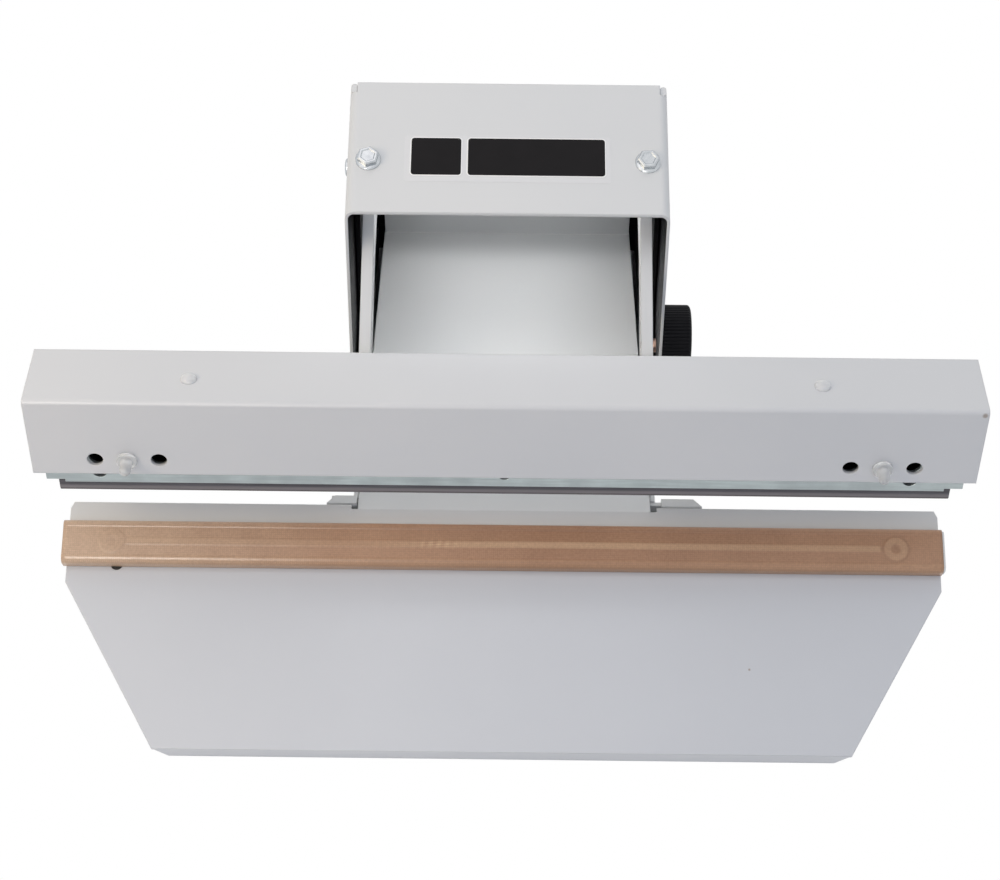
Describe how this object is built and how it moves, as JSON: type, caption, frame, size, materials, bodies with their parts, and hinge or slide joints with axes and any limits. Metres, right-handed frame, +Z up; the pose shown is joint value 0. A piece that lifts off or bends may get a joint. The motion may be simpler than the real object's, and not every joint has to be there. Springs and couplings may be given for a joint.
{
  "type": "heat sealer",
  "caption": "Foot-operated impulse heat sealer head: a sprung upper jaw on two arms closes on a heated lower jaw with a sloping table in front.",
  "frame": {"origin": "middle of the four base bolt holes, on the chassis underside", "axes": "+X along the jaws to the side with the timer knob, +Y from the operator to the back, +Z up"},
  "size_m": [0.362, 0.2677, 0.2116],
  "materials": {
    "painted_sheet": "light grey stoved enamel, semi-gloss",
    "jaw_aluminium": "extruded aluminium bar",
    "glass_tape": "woven glass tape",
    "resistance_strip": "bare resistance alloy strip",
    "brass_screws": "turned brass",
    "fibre": "pressed fibre",
    "ptfe_cloth": "brown PTFE-coated glass cloth, slight sheen",
    "zinc_plate": "steel with bright zinc plating",
    "label_film": "bare black plates",
    "bare_steel": "drawn steel",
    "black_rubber": "moulded rubber",
    "silicone_rubber": "grey silicone rubber strip",
    "clear_plastic": "clear moulded plastic plugs",
    "black_plastic": "moulded black plastic",
    "red_plastic": "moulded red plastic",
    "circuit_board": "printed board with its parts",
    "core_iron": "varnished laminations",
    "coil_copper": "enamelled copper winding in tape"
  },
  "bodies": {
    "base": {"chassis": "painted_sheet", "deck_plate": "painted_sheet", "jaw_support": "painted_sheet", "work_table": "painted_sheet", "table_plug": "black_rubber", "jaw_bar": "jaw_aluminium", "band_insulation": "glass_tape", "heating_band": "resistance_strip", "band_studs": "brass_screws", "stud_washers": "fibre", "ptfe_cloth": "ptfe_cloth", "jaw_screws": "zinc_plate", "hood": "painted_sheet", "hood_bolts": "zinc_plate", "hood_side_screw": "zinc_plate", "label_plates": "label_film", "shaft_bushes": "brass_screws", "return_springs": "bare_steel", "spring_rod": "bare_steel", "stop_bumpers": "black_rubber", "switch_bracket": "zinc_plate", "microswitch": "black_plastic", "potentiometer": "zinc_plate", "timer_board": "circuit_board", "transformer_core": "core_iron", "transformer_coil": "coil_copper", "mains_inlet": "black_plastic", "fuse_holder": "black_plastic", "switch_frame": "black_plastic"},
    "arm": {"left_arm": "painted_sheet", "right_arm": "painted_sheet", "pivot_shaft": "bare_steel", "shaft_collars": "zinc_plate", "arm_bolts": "brass_screws", "spring_pins": "zinc_plate", "jaw_beam": "jaw_aluminium", "upper_jaw_cover": "painted_sheet", "rubber_carrier": "zinc_plate", "sealing_rubber": "silicone_rubber", "cover_domes": "clear_plastic", "jaw_pegs": "clear_plastic", "arm_screws": "zinc_plate", "crank_rod": "bare_steel", "switch_cam": "bare_steel"},
    "pull_link": {"pull_link": "zinc_plate"},
    "plunger": {"switch_plunger": "red_plastic"},
    "knob": {"timer_knob": "black_plastic", "knob_shaft": "zinc_plate"},
    "rocker": {"rocker_switch": "black_plastic"}
  },
  "joints": [
    {"name": "arm_hinge", "type": "hinge", "parent": "base", "child": "arm", "pos_m": [0, -0.023, 0.087], "axis": [1, 0, 0], "range_deg": [0, 21.4], "stiffness_Nm_per_rad": 4, "springref_deg": -22.92, "deforming": ["return_springs"]},
    {"name": "pull_link_pivot", "type": "hinge", "parent": "arm", "child": "pull_link", "pos_m": [0, -0.05, 0.101], "axis": [1, 0, 0], "range_deg": [-22, 0]},
    {"name": "plunger_slide", "type": "slide", "parent": "base", "child": "plunger", "axis": [0, 1, 0], "range_m": [-0.0054, 0]},
    {"name": "knob_turn", "type": "hinge", "parent": "base", "child": "knob", "pos_m": [0.0735, 0.03, 0.0735], "axis": [1, 0, 0], "range_deg": [-135, 135]},
    {"name": "rocker_tilt", "type": "hinge", "parent": "base", "child": "rocker", "pos_m": [0.034, 0.0906, 0.027], "axis": [1, 0, 0], "range_deg": [-16, 0]}
  ],
  "couplings": [
    {"joint": "pull_link_pivot", "follows": "arm_hinge", "ratio": -1},
    {"joint": "plunger_slide", "follows": "arm_hinge", "m_per_rad": -0.0127}
  ]
}
